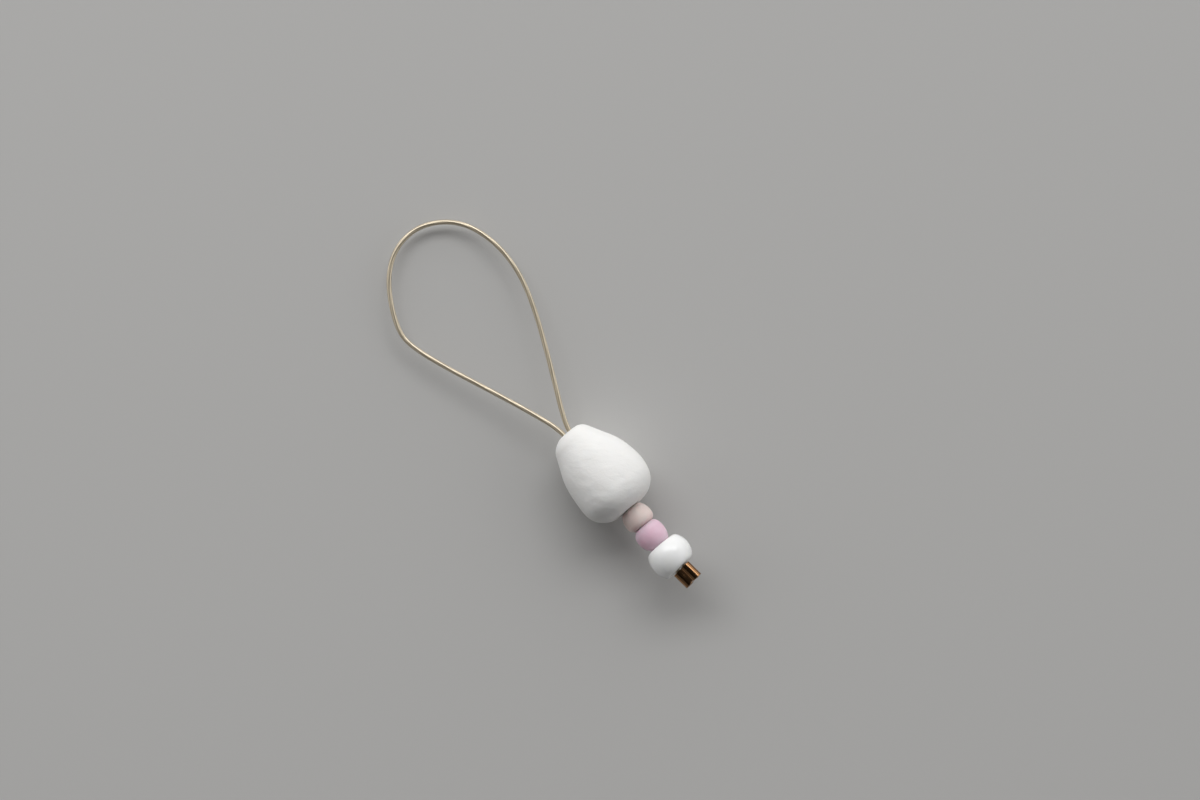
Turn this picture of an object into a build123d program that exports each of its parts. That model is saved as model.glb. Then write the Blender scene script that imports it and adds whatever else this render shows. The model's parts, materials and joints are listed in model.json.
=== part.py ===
from build123d import *
from math import acos, asin, cos, degrees, pi, radians, sin, sqrt, tan
import os

# Beaded stitch marker for knitting: a loop of springy wire slips over the needle, and four beads
# hang from it, held on the wire's two ends by a squeezed crimp tube.
# Millimetres and degrees. The origin is on the flat that the clay bead rests on, midway along it and under
# the wire. +Z is up, and +X runs along the wire, seen from above, from the loop towards the crimp.

# Wire: one length, doubled back on itself, its two halves side by side through the beads
wire_diameter = 0.5
wire_sides = 10
tail_gap = 0.04
wire_tilt = 5
mouth_back = 6.07
mouth_height = 3.0
loop_root_depth = 0.9

# The wire's route round the loop, in the wire's own tilted frame, measured from the clay bead's mouth:
# along the wire (towards the crimp is positive), across it to the left, and the loop's rise out of that plane
loop_route = [
    (-0.3, 0.27, 0),
    (-2.5, 1.17, 0),
    (-7.0, 3.42, 0),
    (-11.6, 5.52, 0.05),
    (-15.6, 6.85, 0.1),
    (-19.8, 6.95, 0.2),
    (-23.5, 5.6, 0.3),
    (-25.7, 2.6, 0.35),
    (-25.8, -0.6, 0.35),
    (-24.2, -3.3, 0.3),
    (-21.4, -5.25, 0.25),
    (-18.7, -6.33, 0.2),
    (-16.8, -6.2, 0.15),
    (-13.3, -5.05, 0.1),
    (-8.0, -2.9, 0.05),
    (-3.4, -1.12, 0),
    (-0.7, -0.27, 0),
]
# Share of the shorter run that each bend takes up
bend_share = 0.45

# Clay bead: a ball of clay rolled out to one side, so that a straight flank narrows from the ball to the
# mouth, with both ends flattened to faces and the whole dried on a flat
clay_length = 9.9
clay_ball_diameter = 8.1
clay_mouth_face = 4.0
clay_end_face = 4.4
clay_mouth_round = 1.6
clay_end_round = 1.4
clay_mouth_lip = 0.25
clay_bore = 1.4
clay_bore_off_centre = 0.12
clay_dimple_width = 2.3
clay_dimple_depth = 0.5

# Blush bead: matt glass seed bead
blush_diameter = 3.05
blush_length = 2.15
blush_bore = 1.15

# Mauve bead: matt glass seed bead, a little longer
mauve_diameter = 3.12
mauve_length = 2.45
mauve_bore = 1.15

# Both seed beads are cut from drawn tube and tumbled round: ends drawn in towards the bore, its edge broken
seed_shoulder = 0.85
seed_crest_wall = 0.3
seed_bore_edge = 0.16

# Pearl bead: glossy round glass bead with flattened ends
pearl_diameter = 4.5
pearl_length = 3.0
pearl_bore = 1.55
pearl_round = 0.5
pearl_crest_diameter = 2.2
pearl_bore_edge = 0.22

# Crimp tube: squeezed so that each wire end has a channel of its own, with a fold between them
crimp_length = 1.8
crimp_wall = 0.3
crimp_pitch = 0.98
crimp_lean = 5.5
crimp_roll = 20
crimp_grip = 0.03
crimp_fold_height = 0.56
crimp_fold_round = 0.1
crimp_edge = 0.04
crimp_notch_depth = 0.25
crimp_notch_width = 0.3
wire_end_recess = 0.12

# Clearances between neighbours on the wire
bead_gap = 0.05
crimp_gap = 0.03
splay_start = 1.15
splay_lead = 0.3
cut_overrun = 1.0

# Places along the wire, measured from the clay bead's mouth
clay_start = -clay_mouth_lip
clay_end = clay_start + clay_length
blush_start = clay_end + bead_gap
blush_end = blush_start + blush_length
mauve_start = blush_end + bead_gap
mauve_end = mauve_start + mauve_length
pearl_start = mauve_end + bead_gap
pearl_end = pearl_start + pearl_length
wire_offset = (wire_diameter + tail_gap) / 2
crimp_lobe_radius = wire_diameter / 2 + crimp_grip + crimp_wall
crimp_half_width = crimp_pitch / 2 * cos(radians(crimp_roll)) + crimp_lobe_radius
crimp_start = pearl_end + crimp_gap + crimp_half_width * sin(radians(crimp_lean))

# The wire's own frame: X along the wire towards the crimp, Y to the left, Z up, at the clay bead's mouth
wire_frame = Plane(
    origin=(-mouth_back, 0, mouth_height),
    x_dir=(cos(radians(wire_tilt)), 0, sin(radians(wire_tilt))),
    z_dir=(-sin(radians(wire_tilt)), 0, cos(radians(wire_tilt))),
)
wire_axis = Axis(wire_frame.origin, wire_frame.x_dir)
# The clay bead's own axis lies beside the wire, because its bore was pierced a little off centre
clay_frame = Plane(
    origin=wire_frame.from_local_coords((clay_start, clay_bore_off_centre, 0)),
    x_dir=wire_frame.x_dir,
    z_dir=-wire_frame.y_dir,
)
# The crimp's frame leans a little to the left of the wire, and is rolled so that its left lobe is the higher
crimp_direction = wire_frame.x_dir.rotate(Axis((0, 0, 0), wire_frame.z_dir), crimp_lean)
crimp_frame = Plane(
    origin=wire_frame.from_local_coords((crimp_start, 0, 0)),
    x_dir=crimp_direction,
    z_dir=wire_frame.z_dir.rotate(Axis((0, 0, 0), crimp_direction), crimp_roll),
)


def across(frame, place):
    """A plane square to a frame's X at a place along it, with its own X to the left and its Y up."""
    return Plane(origin=frame.from_local_coords((place, 0, 0)), x_dir=frame.y_dir, z_dir=frame.x_dir)


def bend_radii(points):
    """The radius of each bend of a route: as large as the two runs beside it allow."""
    radii = []
    for before, corner, after in zip(points, points[1:], points[2:]):
        run_in = corner - before
        run_out = after - corner
        half_turn = radians(run_in.get_angle(run_out)) / 2
        radii.append(bend_share * min(run_in.length, run_out.length) / tan(half_turn))
    return radii


def in_frame(frame, points):
    """Points given in a frame, as points of the model."""
    return [frame.from_local_coords(point) for point in points]


# Wire loop: leaves the clay bead beside its other half, runs round and comes back
loop_points = in_frame(
    wire_frame,
    [(loop_root_depth, wire_offset, 0), *loop_route, (loop_root_depth, -wire_offset, 0)],
)
loop_radii = bend_radii(loop_points)
with BuildPart() as wire_loop:
    with BuildLine() as loop_path:
        FilletPolyline(*loop_points, radius=loop_radii)
    with BuildSketch(across(wire_frame, loop_root_depth)) as loop_section:
        with Locations((wire_offset, 0)):
            RegularPolygon(wire_diameter / 2, wire_sides)
    sweep(path=loop_path.wire())
wire_loop.part.label = "wire_loop"


def tail_points(side):
    """The route of one wire end through the beads and into its channel of the crimp; side is 1 or -1."""
    channel = side * crimp_pitch / 2
    straight = in_frame(
        wire_frame,
        [(loop_root_depth, side * wire_offset, 0), (pearl_end - splay_start, side * wire_offset, 0)],
    )
    gripped = in_frame(crimp_frame, [(-splay_lead, channel, 0), (crimp_length - wire_end_recess, channel, 0)])
    return straight + gripped


# Left and right wire tails: side by side through the beads, then apart into the crimp's two channels
left_points = tail_points(1)
left_radii = bend_radii(left_points)
with BuildPart() as left_wire_tail:
    with BuildLine() as left_path:
        FilletPolyline(*left_points, radius=left_radii)
    with BuildSketch(across(wire_frame, loop_root_depth)) as left_section:
        with Locations((wire_offset, 0)):
            RegularPolygon(wire_diameter / 2, wire_sides)
    sweep(path=left_path.wire())
left_wire_tail.part.label = "left_wire_tail"

right_points = tail_points(-1)
right_radii = bend_radii(right_points)
with BuildPart() as right_wire_tail:
    with BuildLine() as right_path:
        FilletPolyline(*right_points, radius=right_radii)
    with BuildSketch(across(wire_frame, loop_root_depth)) as right_section:
        with Locations((-wire_offset, 0)):
            RegularPolygon(wire_diameter / 2, wire_sides)
    sweep(path=right_path.wire())
right_wire_tail.part.label = "right_wire_tail"


def upright(place):
    """The upright plane through the wire, from a place along it: X along the wire, Y away from it."""
    origin = wire_frame.from_local_coords((place, 0, 0))
    return Plane(origin=origin, x_dir=wire_frame.x_dir, z_dir=-wire_frame.y_dir)


# Clay bead: rolled round its own axis, then the flat it dried on, the bore and the piercing tool's dimple
# The flank runs from the mouth face's rim and touches the ball
clay_axis = Axis(clay_frame.origin, clay_frame.x_dir)
ball_radius = clay_ball_diameter / 2
ball_place = clay_length - sqrt(ball_radius**2 - (clay_end_face / 2) ** 2)
rim_to_ball = sqrt(ball_place**2 + (clay_mouth_face / 2) ** 2)
flank_lean = asin(ball_radius / rim_to_ball) - asin(clay_mouth_face / 2 / rim_to_ball)
flank_top = (ball_place - ball_radius * sin(flank_lean), ball_radius * cos(flank_lean))
end_lean = asin(clay_end_face / clay_ball_diameter)
with BuildPart() as clay_bead:
    with BuildSketch(clay_frame) as clay_outline:
        with BuildLine():
            Polyline(
                (clay_length, clay_end_face / 2),
                (clay_length, 0),
                (0, 0),
                (0, clay_mouth_face / 2),
                flank_top,
            )
            CenterArc((ball_place, 0), ball_radius, degrees(end_lean), 90 + degrees(flank_lean - end_lean))
        make_face()
        mouth_rim = clay_outline.vertices().sort_by_distance((0, clay_mouth_face / 2))[0]
        fillet(mouth_rim, clay_mouth_round)
        end_rim = clay_outline.vertices().sort_by_distance((clay_length, clay_end_face / 2))[0]
        fillet(end_rim, clay_end_round)
    revolve(axis=clay_axis)
    split(bisect_by=Plane.XY, keep=Keep.TOP)
    with BuildSketch(across(wire_frame, clay_start)):
        Circle(clay_bore / 2)
    extrude(amount=clay_length + cut_overrun, both=True, mode=Mode.SUBTRACT)
    with BuildSketch(upright(clay_start)):
        with BuildLine():
            Polyline((0, 0), (0, clay_dimple_width / 2), (clay_dimple_depth, 0), close=True)
        make_face()
    revolve(axis=wire_axis, mode=Mode.SUBTRACT)
clay_bead.part.label = "clay_bead"


def seed_profile(start, length, diameter, bore):
    """The wall section of a tumbled seed bead, to be turned about the wire."""
    crest = bore / 2 + seed_crest_wall
    shoulder = length / 2 - seed_shoulder
    with BuildSketch(upright(start + length / 2)) as profile:
        with BuildLine():
            Polyline((0, bore / 2), (length / 2 - seed_bore_edge, bore / 2), (length / 2, crest))
            EllipticalCenterArc(
                (shoulder, crest), seed_shoulder, diameter / 2 - crest, start_angle=0, arc_size=90
            )
            Line((shoulder, diameter / 2), (0, diameter / 2))
            mirror(about=Plane.YZ)
        make_face()
    return profile.sketch


with BuildPart() as blush_bead:
    add(seed_profile(blush_start, blush_length, blush_diameter, blush_bore))
    revolve(axis=wire_axis)
blush_bead.part.label = "blush_bead"

with BuildPart() as mauve_bead:
    add(seed_profile(mauve_start, mauve_length, mauve_diameter, mauve_bore))
    revolve(axis=wire_axis)
mauve_bead.part.label = "mauve_bead"

# Pearl bead: a ball with flattened ends, their rims rounded, within the end's width, and dished in to the bore
pearl_half_length = pearl_length / 2
pearl_rim_lean = degrees(acos(pearl_length / pearl_diameter))
pearl_rim = sqrt(pearl_diameter**2 - pearl_length**2) / 2
pearl_end_width = pearl_rim - pearl_crest_diameter / 2
with BuildPart() as pearl_bead:
    with BuildSketch(upright(pearl_start + pearl_half_length)) as pearl_outline:
        with BuildLine():
            Polyline(
                (0, pearl_bore / 2),
                (pearl_half_length - pearl_bore_edge, pearl_bore / 2),
                (pearl_half_length, pearl_crest_diameter / 2),
                (pearl_half_length, pearl_rim),
            )
            mirror(about=Plane.YZ)
            CenterArc((0, 0), pearl_diameter / 2, pearl_rim_lean, 180 - 2 * pearl_rim_lean)
        make_face()
        fillet(pearl_outline.vertices().sort_by(Axis.Y)[-2:], min(pearl_round, pearl_end_width))
    revolve(axis=wire_axis)
pearl_bead.part.label = "pearl_bead"

# Crimp tube: two lobes with a fold of doubled wall between them, open at the top where the jaw pressed in
lobe_places = [(-crimp_pitch / 2, 0), (crimp_pitch / 2, 0)]
fold_middle = crimp_fold_height / 2 - crimp_lobe_radius
with BuildPart() as crimp_tube:
    with BuildSketch(across(crimp_frame, 0)) as crimp_section:
        with Locations(lobe_places):
            Circle(crimp_lobe_radius)
        with Locations((0, fold_middle)):
            Rectangle(crimp_pitch, crimp_fold_height)
        crease = crimp_section.vertices().sort_by(Axis.Y)[-1]
        fillet(crease, crimp_fold_round)
    extrude(amount=crimp_length)
    rims = crimp_tube.faces().filter_by(GeomType.PLANE).sort_by(Axis(crimp_frame.origin, crimp_frame.x_dir))
    chamfer(rims[0].edges() + rims[-1].edges(), crimp_edge)
    with BuildSketch(across(crimp_frame, 0)):
        with Locations(lobe_places):
            Circle(wire_diameter / 2 + crimp_grip)
    extrude(amount=crimp_length, mode=Mode.SUBTRACT)
    # The fold gapes a little at the outer end
    with BuildSketch(crimp_frame.offset(-crimp_lobe_radius - cut_overrun)):
        with BuildLine():
            Polyline(
                (crimp_length - crimp_notch_depth, 0),
                (crimp_length + crimp_notch_depth, crimp_notch_width),
                (crimp_length + crimp_notch_depth, -crimp_notch_width),
                close=True,
            )
        make_face()
    extrude(amount=2 * (crimp_lobe_radius + cut_overrun), mode=Mode.SUBTRACT)
crimp_tube.part.label = "crimp_tube"

pieces = [
    wire_loop,
    left_wire_tail,
    right_wire_tail,
    clay_bead,
    blush_bead,
    mauve_bead,
    pearl_bead,
    crimp_tube,
]
os.makedirs("parts", exist_ok=True)
for piece in pieces:
    export_step(piece.part, f"parts/{piece.part.label}.step")

section_area = wire_sides * (wire_diameter / 2) ** 2 * sin(2 * pi / wire_sides) / 2
print("loop radii", [round(radius, 2) for radius in loop_radii])
print("tail radii", [round(radius, 2) for radius in left_radii + right_radii])
print("loop length", round(loop_path.wire().length, 2))
print("loop volume", round(wire_loop.part.volume, 3))
print("section times length", round(section_area * loop_path.wire().length, 3))
for piece in pieces:
    box = piece.part.bounding_box()
    print(piece.part.label, len(piece.part.solids()), round(piece.part.volume, 2), box.min, box.max)
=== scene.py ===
"""Finished look of a beaded stitch marker, in metres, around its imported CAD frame.

The marker is a loop of springy beading wire whose two ends run side by side through a hand-formed clay
bead, two frosted seed beads and a glossy pearl bead, and are gripped by a folded crimp tube. Sizes in the
classes are millimetres in the wire's own frame: along the wire towards the crimp, to the left, and up.
"""
from __future__ import annotations

import json
import logging
import math
from dataclasses import dataclass
from enum import Enum
from typing import Any, Sequence

import bmesh
import bpy
import numpy as np
from mathutils import Matrix, Vector, noise


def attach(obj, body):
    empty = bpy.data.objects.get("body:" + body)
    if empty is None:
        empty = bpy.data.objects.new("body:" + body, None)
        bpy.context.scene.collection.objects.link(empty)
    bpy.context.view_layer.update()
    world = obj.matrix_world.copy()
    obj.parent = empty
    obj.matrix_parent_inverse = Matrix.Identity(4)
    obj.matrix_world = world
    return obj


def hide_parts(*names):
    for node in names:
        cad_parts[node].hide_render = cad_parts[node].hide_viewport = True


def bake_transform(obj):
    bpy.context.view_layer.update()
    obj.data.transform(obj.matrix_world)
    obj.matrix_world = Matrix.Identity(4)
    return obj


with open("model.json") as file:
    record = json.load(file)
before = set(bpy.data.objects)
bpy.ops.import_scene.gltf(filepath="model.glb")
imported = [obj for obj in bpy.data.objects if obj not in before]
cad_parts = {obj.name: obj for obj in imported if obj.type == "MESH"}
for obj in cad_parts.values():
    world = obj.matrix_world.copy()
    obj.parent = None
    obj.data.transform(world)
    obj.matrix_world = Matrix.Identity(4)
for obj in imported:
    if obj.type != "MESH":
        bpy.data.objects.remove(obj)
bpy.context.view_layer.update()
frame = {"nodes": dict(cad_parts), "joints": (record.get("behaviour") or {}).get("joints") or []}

MM = 0.001
WIRE_DIAMETER = 0.5
WIRE_STRANDS = 7
BEAD_SMOOTH_BELOW = 60
TINY = 1e-9
log = logging.getLogger("stitch_marker")

Colour = tuple[float, float, float]
Stations = tuple[tuple[float, float], ...]
Sockets = dict[str, bpy.types.NodeSocket]


class Slot(Enum):
    """The finishes that the record names."""

    WIRE = "beading_wire"
    CRIMP = "crimp_bronze"
    CLAY = "white_clay"
    BLUSH = "blush_glass"
    MAUVE = "mauve_glass"
    PEARL = "pearl_glass"


class Side(Enum):
    """Which of the wire's two ends, as the sign of its place across the wire."""

    LEFT = 1
    RIGHT = -1


# Frames and measures


class LocalFrame:
    """A frame in millimetres whose x runs along the wire, y to the left and z up."""

    def __init__(self, origin: Vector, along: Vector) -> None:
        """Sets the frame up.

        Args:
            origin: the frame's origin in metres.
            along: the direction of its x.
        """
        self.origin = Vector(origin)
        self.along = Vector(along).normalized()
        self.left = Vector((0, 0, 1)).cross(self.along).normalized()
        self.up = self.along.cross(self.left)
        self.basis = np.array([self.along, self.left, self.up])

    def points(self, local: np.ndarray) -> np.ndarray:
        """Points of the frame, as points of the model.

        Args:
            local: rows of x, y and z in millimetres.

        Returns:
            The same rows in metres.
        """
        return np.array(self.origin) + MM * np.asarray(local, float) @ self.basis

    def point(self, along: float, left: float = 0, up: float = 0) -> Vector:
        """One point of the frame, as a point of the model."""
        return Vector(self.points([[along, left, up]])[0])

    def local(self, world: np.ndarray) -> np.ndarray:
        """Points of the model, as points of the frame in millimetres."""
        return (np.asarray(world, float) - np.array(self.origin)) @ self.basis.T / MM

    def turned(self, place: float, lean: float, roll: float) -> LocalFrame:
        """A frame further along, leaning to the left and rolled about its own x.

        Args:
            place: how far along its origin is, in millimetres.
            lean: its lean in degrees.
            roll: its roll in degrees, which lifts its left side.

        Returns:
            The new frame.
        """
        lean_turn = Matrix.Rotation(math.radians(lean), 3, self.up)
        turned = LocalFrame(self.point(place), lean_turn @ self.along)
        roll_turn = Matrix.Rotation(math.radians(roll), 3, turned.along)
        turned.left = roll_turn @ lean_turn @ self.left
        turned.up = roll_turn @ self.up
        turned.basis = np.array([turned.along, turned.left, turned.up])
        return turned


@dataclass(frozen=True)
class NodeMeasure:
    """Where a CAD node lies on the wire, in millimetres."""

    start: float
    end: float
    radius: float
    bore: float

    @classmethod
    def of(cls, node: str, wire: LocalFrame) -> NodeMeasure:
        """Measures a node.

        Args:
            node: the node's name.
            wire: the wire's frame.

        Returns:
            Its two ends along the wire, and its largest and smallest distance from the wire's middle.
        """
        vertices = frame["nodes"][node].data.vertices
        local = wire.local(np.array([vertex.co for vertex in vertices]))
        out = np.hypot(local[:, 1], local[:, 2])
        return cls(local[:, 0].min(), local[:, 0].max(), out.max(), out.min())


# Outlines and curves


@dataclass(frozen=True)
class Corner:
    """A corner of an outline: its place along the wire, its distance out, and its rounding."""

    along: float
    out: float
    round: float = 0


def rounded_outline(corners: Sequence[Corner], step: float) -> np.ndarray:
    """An open outline through corners, each rounded by an arc that touches its two sides.

    Args:
        corners: the corners in order; the first and the last are plain ends.
        step: the longest stretch between two points.

    Returns:
        Rows of place along and distance out.
    """
    places = [np.array((corner.along, corner.out)) for corner in corners]
    outline = [places[0]]
    for before, here, after, corner in zip(places, places[1:], places[2:], corners[1:]):
        back = (before - here) / np.linalg.norm(before - here)
        ahead = (after - here) / np.linalg.norm(after - here)
        half_opening = math.acos(np.clip(back @ ahead, -1, 1)) / 2
        bisector = (back + ahead) / np.linalg.norm(back + ahead)
        reach = corner.round / math.tan(half_opening)
        middle = here + bisector * corner.round / math.sin(half_opening)
        spoke_first = here + back * reach - middle
        spoke_last = here + ahead * reach - middle
        sweep = math.pi - 2 * half_opening
        count = max(2, math.ceil(corner.round * sweep / step))
        arc = []
        for k in range(count + 1):
            weight_first = math.sin((1 - k / count) * sweep) / math.sin(sweep)
            weight_last = math.sin(k / count * sweep) / math.sin(sweep)
            arc.append(middle + spoke_first * weight_first + spoke_last * weight_last)
        outline.extend(run_points(outline[-1], arc[0], step))
        outline.extend(arc)
    outline.extend(run_points(outline[-1], places[-1], step))
    outline.append(places[-1])
    return np.array(outline)


def run_points(first: np.ndarray, last: np.ndarray, step: float) -> list[np.ndarray]:
    """The points between two others, evenly spaced and no further apart than a step."""
    count = math.ceil(np.linalg.norm(last - first) / step)
    return [first + (last - first) * k / count for k in range(1, count)]


def closed_through_bore(skin: np.ndarray, step: float) -> np.ndarray:
    """An outline with the points that lead from its end back to its start.

    Args:
        skin: rows of place along and distance out, from one bore edge to the other.
        step: the longest stretch between two points of the bore.

    Returns:
        The outline's rows followed by the bore's.
    """
    return np.vstack([skin, run_points(skin[-1], skin[0], step)])


def eased(stations: Stations, places: np.ndarray) -> np.ndarray:
    """Values that change smoothly from station to station.

    Args:
        stations: pairs of place and value, in order.
        places: where values are wanted.

    Returns:
        The value at each place.
    """
    marks, values = (np.array(column, float) for column in zip(*stations))
    index = np.clip(np.searchsorted(marks, places) - 1, 0, len(marks) - 2)
    share = np.clip((places - marks[index]) / (marks[index + 1] - marks[index]), 0, 1)
    share = share * share * (3 - 2 * share)
    return values[index] + (values[index + 1] - values[index]) * share


def ripple(points: np.ndarray, size: float, seed: float) -> np.ndarray:
    """Smooth unevenness, about -1 to 1, that repeats nowhere.

    Args:
        points: rows of points in millimetres.
        size: how far apart its swells are, in millimetres.
        seed: which unevenness it is.

    Returns:
        One value for each point.
    """
    shift = Vector((seed, 2 * seed, -seed))
    return np.array([noise.noise(Vector(point) / size + shift) for point in points])


def smooth_floor(heights: np.ndarray, floor: float, blend: float) -> np.ndarray:
    """Heights pressed flat on a level, with a soft edge.

    Args:
        heights: the heights.
        floor: the level that nothing goes below.
        blend: over how much height the edge is soft.

    Returns:
        The pressed heights.
    """
    near = np.clip(1 - np.abs(heights - floor) / blend, 0, 1)
    return np.maximum(heights, floor) + near * near * blend / 4


def even_turns(count: int) -> np.ndarray:
    """Angles in radians, evenly spaced round a circle."""
    return np.arange(count) * 2 * math.pi / count


def spun(outline: np.ndarray, sides: int) -> tuple[np.ndarray, np.ndarray, np.ndarray]:
    """An outline carried round the wire.

    Args:
        outline: rows of place along and distance out.
        sides: how many points go round.

    Returns:
        Each point's place along, its distance out and its angle, ring by ring.
    """
    along = np.repeat(outline[:, 0], sides)
    out = np.repeat(outline[:, 1], sides)
    return along, out, np.tile(even_turns(sides), len(outline))


def travelled_along(line: np.ndarray) -> np.ndarray:
    """The length of a line of points up to each of them, from 0."""
    return np.concatenate([[0], np.cumsum(np.linalg.norm(np.diff(line, axis=0), axis=1))])


def route_line(route: Sequence[Vector], resolution: int) -> np.ndarray:
    """The smooth line that a wire follows.

    Args:
        route: the control points of its spline, in metres.
        resolution: how many steps each stretch of the spline is read in.

    Returns:
        Rows of points along the spline, in metres.
    """
    curve = bpy.data.curves.new("route", "CURVE")
    curve.dimensions = "3D"
    curve.resolution_u = resolution
    spline = curve.splines.new("NURBS")
    spline.points.add(len(route) - 1)
    for control, point in zip(spline.points, route):
        control.co = (*point, 1)
    spline.order_u = 3
    spline.use_endpoint_u = True
    holder = bpy.data.objects.new("route", curve)
    mesh = bpy.data.meshes.new_from_object(holder)
    line = np.array([vertex.co for vertex in mesh.vertices])
    bpy.data.objects.remove(holder)
    bpy.data.curves.remove(curve)
    bpy.data.meshes.remove(mesh)
    return line


# Meshes


class Shell:
    """Gathers the vertices and faces of one piece and turns them into an object."""

    def __init__(self) -> None:
        """Starts an empty shell."""
        self.vertices: list[Sequence[float]] = []
        self.faces: list[Sequence[int]] = []

    def add_points(self, points: np.ndarray) -> np.ndarray:
        """Adds points.

        Args:
            points: an array whose last axis holds x, y and z.

        Returns:
            The points' numbers, in the shape of the array's other axes.
        """
        first = len(self.vertices)
        flat = np.asarray(points, float).reshape(-1, 3)
        self.vertices.extend(flat.tolist())
        return np.arange(first, first + len(flat)).reshape(np.asarray(points).shape[:-1])

    def add_bands(self, numbers: np.ndarray, closed_along: bool) -> None:
        """Joins rings of points with bands of quads.

        Args:
            numbers: one row of point numbers for each ring.
            closed_along: whether the last ring is joined to the first.
        """
        rings, sides = numbers.shape
        for i in range(rings if closed_along else rings - 1):
            here = numbers[i]
            following = numbers[(i + 1) % rings]
            for j in range(sides):
                after = (j + 1) % sides
                self.faces.append((here[j], following[j], following[after], here[after]))

    def add_cap(self, ring: np.ndarray, middle: Sequence[float], outward: bool) -> None:
        """Closes a ring with triangles to a middle point.

        Args:
            ring: the ring's point numbers.
            middle: the middle point.
            outward: whether the cap faces along the tube rather than back.
        """
        hub = int(self.add_points(np.array([middle]))[0])
        for j in range(len(ring)):
            after = (j + 1) % len(ring)
            face = (ring[j], hub, ring[after]) if outward else (ring[j], ring[after], hub)
            self.faces.append(face)

    def build(self, name: str, smooth_below: float = 180) -> bpy.types.Object:
        """Makes the object.

        Args:
            name: the piece's name.
            smooth_below: edges that turn more than this many degrees stay sharp.

        Returns:
            The new object, linked into the scene.
        """
        mesh = bpy.data.meshes.new(name)
        mesh.from_pydata(self.vertices, [], [tuple(int(n) for n in face) for face in self.faces])
        mesh.validate()
        tidy = bmesh.new()
        tidy.from_mesh(mesh)
        bmesh.ops.recalc_face_normals(tidy, faces=tidy.faces)
        limit = math.radians(smooth_below)
        for edge in tidy.edges:
            edge.smooth = edge.calc_face_angle(0) < limit
        for face in tidy.faces:
            face.smooth = True
        tidy.to_mesh(mesh)
        tidy.free()
        piece = bpy.data.objects.new(name, mesh)
        bpy.context.collection.objects.link(piece)
        return piece


def bead_shell(points: np.ndarray, sides: int, name: str) -> bpy.types.Object:
    """A bead from rings of points that run over its skin and back through its bore.

    Args:
        points: the points in metres, ring by ring.
        sides: how many points each ring has.
        name: the piece's name.

    Returns:
        The new object, with its last ring joined to its first.
    """
    shell = Shell()
    numbers = shell.add_points(points.reshape(-1, sides, 3))
    shell.add_bands(numbers, closed_along=True)
    return shell.build(name, smooth_below=BEAD_SMOOTH_BELOW)


# Shader graphs


class Graph:
    """A node tree that nodes are added to in one call each."""

    def __init__(self, tree: bpy.types.NodeTree) -> None:
        """Takes over a tree."""
        self.tree = tree

    def add(self, kind: str, inputs: dict[Any, Any] | None = None, **settings: Any) -> bpy.types.Node:
        """Adds a node.

        Args:
            kind: the node's type.
            inputs: a value or a socket for each input, by name or number.
            settings: the node's own properties.

        Returns:
            The node.
        """
        node = self.tree.nodes.new(kind)
        for key, value in settings.items():
            setattr(node, key, value)
        for key, value in (inputs or {}).items():
            if isinstance(value, bpy.types.NodeSocket):
                self.tree.links.new(value, node.inputs[key])
            else:
                node.inputs[key].default_value = value
        return node

    def math(self, operation: str, first: Any, second: Any = 0.0) -> bpy.types.NodeSocket:
        """The result of an operation on two values or sockets."""
        return self.add("ShaderNodeMath", {0: first, 1: second}, operation=operation).outputs[0]

    def mix(self, factor: Any, first: Any, second: Any) -> bpy.types.NodeSocket:
        """The colour between two colours or sockets."""
        node = self.add(
            "ShaderNodeMix", {"Factor": factor, "A": first, "B": second}, data_type="RGBA"
        )
        return node.outputs["Result"]

    def zero_to_one(self, wave: bpy.types.NodeSocket) -> bpy.types.NodeSocket:
        """A value from -1 to 1, brought to a value from 0 to 1."""
        return self.math("ADD", self.math("MULTIPLY", wave, 0.5), 0.5)

    def cloud(
        self, place: bpy.types.NodeSocket, scale: Any, detail: float, **more: float
    ) -> bpy.types.NodeSocket:
        """Soft noise from 0 to 1.

        Args:
            place: the texture coordinate.
            scale: a value or socket, the number of swells to each unit of the coordinate.
            detail: how many finer layers the noise has.
            more: the noise's other inputs by name.

        Returns:
            The socket with the noise.
        """
        inputs = {"Vector": place, "Scale": scale, "Detail": detail, **more}
        return self.add("ShaderNodeTexNoise", inputs).outputs["Fac"]

    def relief(
        self,
        height: bpy.types.NodeSocket,
        depth: float,
        strength: float = 1.0,
        under: bpy.types.NodeSocket | None = None,
    ) -> bpy.types.NodeSocket:
        """The normal of a fine relief.

        Args:
            height: the socket with the relief's height.
            depth: what a height of 1 stands for, in millimetres.
            strength: how strongly it shows.
            under: the normal of a larger relief that it lies on.

        Returns:
            The socket with the normal.
        """
        inputs = {"Height": height, "Distance": depth * MM, "Strength": strength}
        if under is not None:
            inputs["Normal"] = under
        return self.add("ShaderNodeBump", inputs).outputs["Normal"]

    def ramp(self, value: Any, stops: Stations) -> bpy.types.NodeSocket:
        """A value led through stops.

        Args:
            value: the socket that is led through.
            stops: pairs of place and grey level.

        Returns:
            The socket with the grey level.
        """
        node = self.add("ShaderNodeValToRGB", {"Fac": value})
        elements = node.color_ramp.elements
        while len(elements) < len(stops):
            elements.new(1)
        for element, (place, level) in zip(elements, stops):
            element.position = place
            element.color = (level, level, level, 1)
        return node.outputs["Color"]


def opaque(colour: Colour) -> tuple[float, float, float, float]:
    """A colour with full alpha."""
    return (*colour, 1)


def millimetres(graph: Graph) -> bpy.types.NodeSocket:
    """The place on the piece in millimetres, as a texture coordinate.

    Args:
        graph: the graph that it is used in.

    Returns:
        The socket with the coordinate.
    """
    place = graph.add("ShaderNodeTexCoord").outputs["Object"]
    scaled = graph.add("ShaderNodeVectorMath", {0: place, 3: 1 / MM}, operation="SCALE")
    return scaled.outputs[0]


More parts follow.
